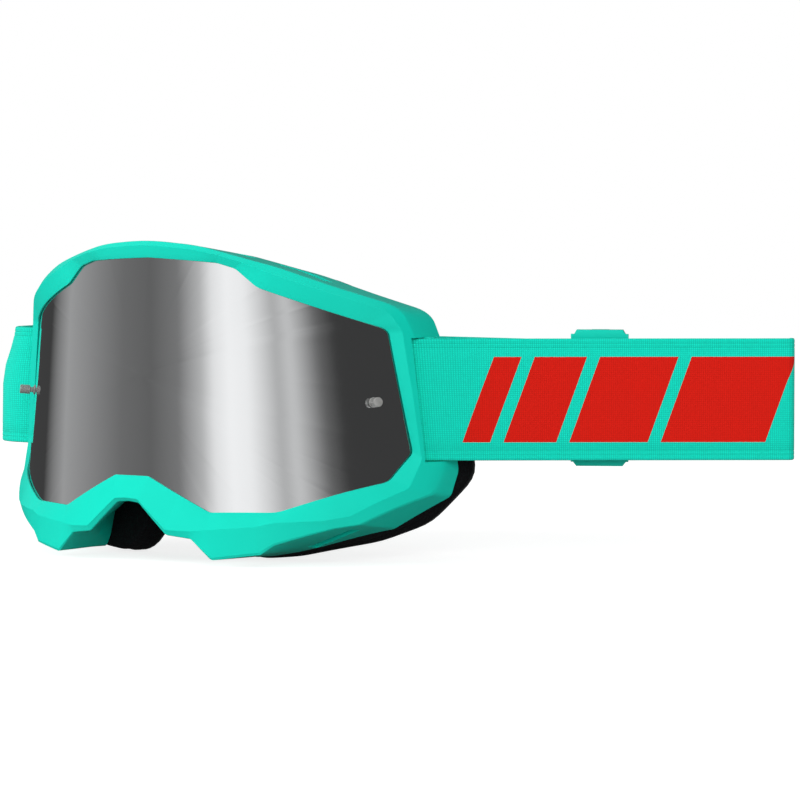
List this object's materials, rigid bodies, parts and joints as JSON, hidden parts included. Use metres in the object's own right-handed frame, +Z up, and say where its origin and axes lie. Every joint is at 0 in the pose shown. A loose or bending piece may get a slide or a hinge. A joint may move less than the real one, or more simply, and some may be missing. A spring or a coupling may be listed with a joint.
{
  "type": "motorcycle goggles",
  "caption": "Motocross goggles: one curved mirror lens in a moulded frame with nose arch, layered face foam, tear-off posts and an elastic strap folded to one side with a sliding adjuster.",
  "frame": {"origin": "bottom centre of the whole part's bounding box, strap included", "axes": "+Z up along the level strap's width, +X towards the wearer's left where the strap is folded, -Y the way the lens faces"},
  "size_m": [0.2906, 0.1366, 0.1113],
  "materials": {
    "frame_plastic": "satin",
    "lens_mirror": "silver mirror",
    "post_plastic": "clear, polished",
    "washer_rubber": "matte",
    "face_fleece": "brushed",
    "face_foam": "fine open cell",
    "open_foam": "coarse open cell",
    "buckle_plastic": "satin",
    "strap_webbing": "woven elastic",
    "thread": "stitched",
    "silicone": "translucent"
  },
  "bodies": {
    "goggles": {"cheek_vent_foam_left": "open_foam", "cheek_vent_foam_right": "open_foam", "face_foam_base": "face_foam", "face_foam_core": "face_foam", "face_foam_fleece": "face_fleece", "frame": "frame_plastic", "grip_beads": "silicone", "lens": "lens_mirror", "stitching_left_bar": "thread", "stitching_right_bar": "thread", "stitching_ring": "thread", "strap_main": "strap_webbing", "strap_ring": "buckle_plastic", "strap_short": "strap_webbing", "tear_off_post_left": "post_plastic", "tear_off_post_right": "post_plastic", "tear_off_washers": "washer_rubber", "top_vent_foam": "open_foam"},
    "slider": {"slider": "buckle_plastic", "strap_tail": "strap_webbing", "stitching_slider": "thread"}
  },
  "joints": [
    {"name": "slider_slide", "type": "slide", "parent": "goggles", "child": "slider", "axis": [0.8829, 0.4695, 0], "range_m": [-0.003, 0.045], "deforming": ["strap_tail"]}
  ]
}
